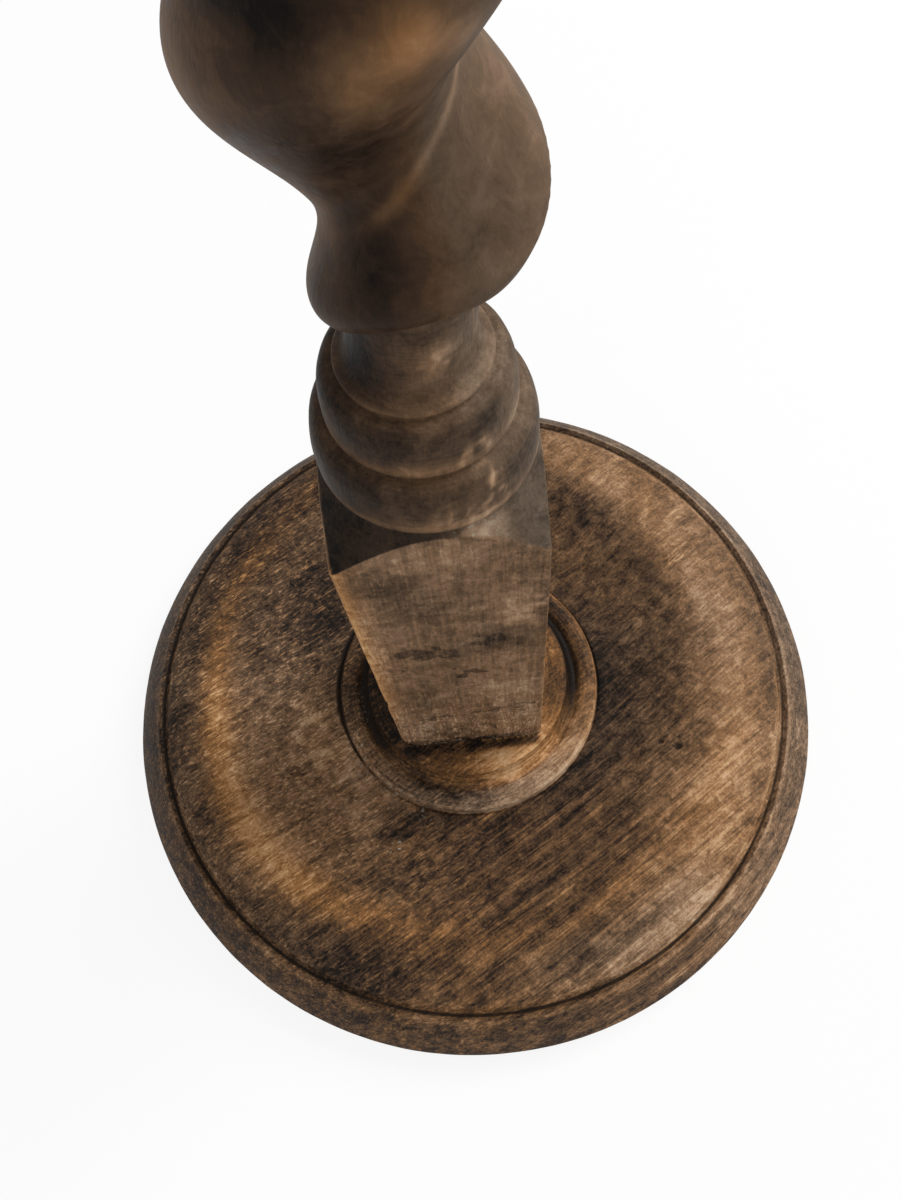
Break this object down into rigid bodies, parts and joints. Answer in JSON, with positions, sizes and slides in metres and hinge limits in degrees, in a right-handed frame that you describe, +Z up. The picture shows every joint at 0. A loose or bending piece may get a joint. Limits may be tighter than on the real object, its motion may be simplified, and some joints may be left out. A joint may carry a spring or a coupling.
{
  "type": "plant stand",
  "caption": "Tall turned wooden plant stand: round moulded base, square-blocked barley-twist column wedged into it, and a round top carried on a turned cleat.",
  "frame": {"origin": "centre of the base on the floor", "axes": "+Z up along the column; X and Y along the faces of the square blocks; -Y is the side that the picture looks from"},
  "size_m": [0.28, 0.28, 0.892],
  "materials": {
    "base_wood": "dark stained beech, worn to orange-tan on the raised ring, dull wax",
    "column_wood": "dark stained beech, rubbed lighter on the crests, soft wax sheen",
    "wedge_wood": "bare sawn beech, darkened by age",
    "cleat_wood": "dark stained beech, dull",
    "top_wood": "dark stained beech, worn along the edge, dull wax",
    "screw_steel": "dull steel, lightly tarnished"
  },
  "bodies": {
    "root": {"base": "base_wood", "column": "column_wood", "lower_tenon_wedge": "wedge_wood", "upper_tenon_wedge": "wedge_wood", "top_cleat": "cleat_wood", "top": "top_wood", "cleat_screw_1": "screw_steel", "cleat_screw_2": "screw_steel", "cleat_screw_3": "screw_steel", "cleat_screw_4": "screw_steel"}
  },
  "joints": []
}
